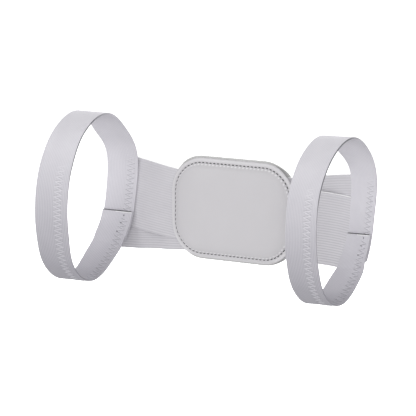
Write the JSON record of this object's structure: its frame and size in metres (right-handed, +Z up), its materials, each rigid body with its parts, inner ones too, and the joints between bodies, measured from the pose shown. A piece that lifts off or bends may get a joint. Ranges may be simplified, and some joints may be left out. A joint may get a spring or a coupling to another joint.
{
  "type": "posture corrector",
  "caption": "Posture corrector as worn: elastic shoulder loops sewn to wide elastic strips that cross behind a rounded, stitched leatherette back pad.",
  "frame": {"origin": "middle of the pad's face, where it sits between the wearer's shoulder blades", "axes": "+X along the strips from the left loop in the picture to the right one, +Y away from the wearer's back, +Z up. The wearer is on the -Y side, and the loops reach towards -Y"},
  "size_m": [0.3591, 0.1389, 0.1796],
  "materials": {
    "leatherette": "smooth light grey polyurethane leatherette, satin, with a stitched edge",
    "wide_elastic": "light grey woven elastic with fine lengthwise ribs, matt",
    "elastic_band": "light lavender grey woven elastic band with fine lengthwise ribs and a raised zigzag line, matt",
    "thread": "dark grey polyester sewing thread"
  },
  "bodies": {
    "root": {"pad_front": "leatherette", "pad_back": "leatherette", "front_strip": "wide_elastic", "rear_strip": "wide_elastic", "left_loop": "elastic_band", "right_loop": "elastic_band"}
  },
  "joints": []
}
